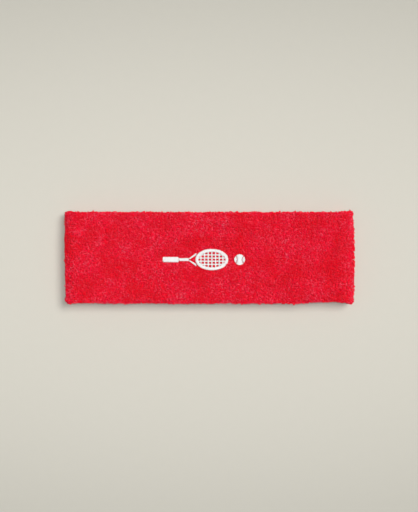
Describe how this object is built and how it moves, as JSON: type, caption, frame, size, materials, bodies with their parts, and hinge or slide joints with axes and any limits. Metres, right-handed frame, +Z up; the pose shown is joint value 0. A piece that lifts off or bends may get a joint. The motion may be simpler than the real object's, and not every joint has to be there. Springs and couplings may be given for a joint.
{
  "type": "sports headband",
  "caption": "Soft terry headband for racket sports, lying flat: a closed stretch loop with folded edges and an embroidered racket and ball on the front.",
  "frame": {"origin": "middle of the underside of the band lying flat", "axes": "+X along the flattened loop, +Y across the band's height, +Z up out of the front face"},
  "size_m": [0.184, 0.058, 0.0159],
  "materials": {
    "red_terry": "cotton loop pile, matt",
    "red_linking_thread": "twisted thread, matt",
    "elastic_yarn": "covered elastic yarn, matt",
    "white_embroidery_thread": "satin stitch, soft sheen",
    "backing_fleece": "non-woven, matt",
    "bobbin_thread": "fine thread, soft sheen"
  },
  "bodies": {
    "root": {"terry_sleeve": "red_terry", "linking_thread": "red_linking_thread", "elastic_yarn_01": "elastic_yarn", "elastic_yarn_02": "elastic_yarn", "elastic_yarn_03": "elastic_yarn", "elastic_yarn_04": "elastic_yarn", "elastic_yarn_05": "elastic_yarn", "elastic_yarn_06": "elastic_yarn", "elastic_yarn_07": "elastic_yarn", "elastic_yarn_08": "elastic_yarn", "elastic_yarn_09": "elastic_yarn", "elastic_yarn_10": "elastic_yarn", "racket_hoop": "white_embroidery_thread", "racket_strings": "white_embroidery_thread", "racket_throat_upper": "white_embroidery_thread", "racket_throat_lower": "white_embroidery_thread", "racket_shaft": "white_embroidery_thread", "racket_grip": "white_embroidery_thread", "ball_left": "white_embroidery_thread", "ball_middle": "white_embroidery_thread", "ball_right": "white_embroidery_thread", "embroidery_backing": "backing_fleece", "bobbin_thread_racket": "bobbin_thread", "bobbin_thread_ball": "bobbin_thread"}
  },
  "joints": []
}
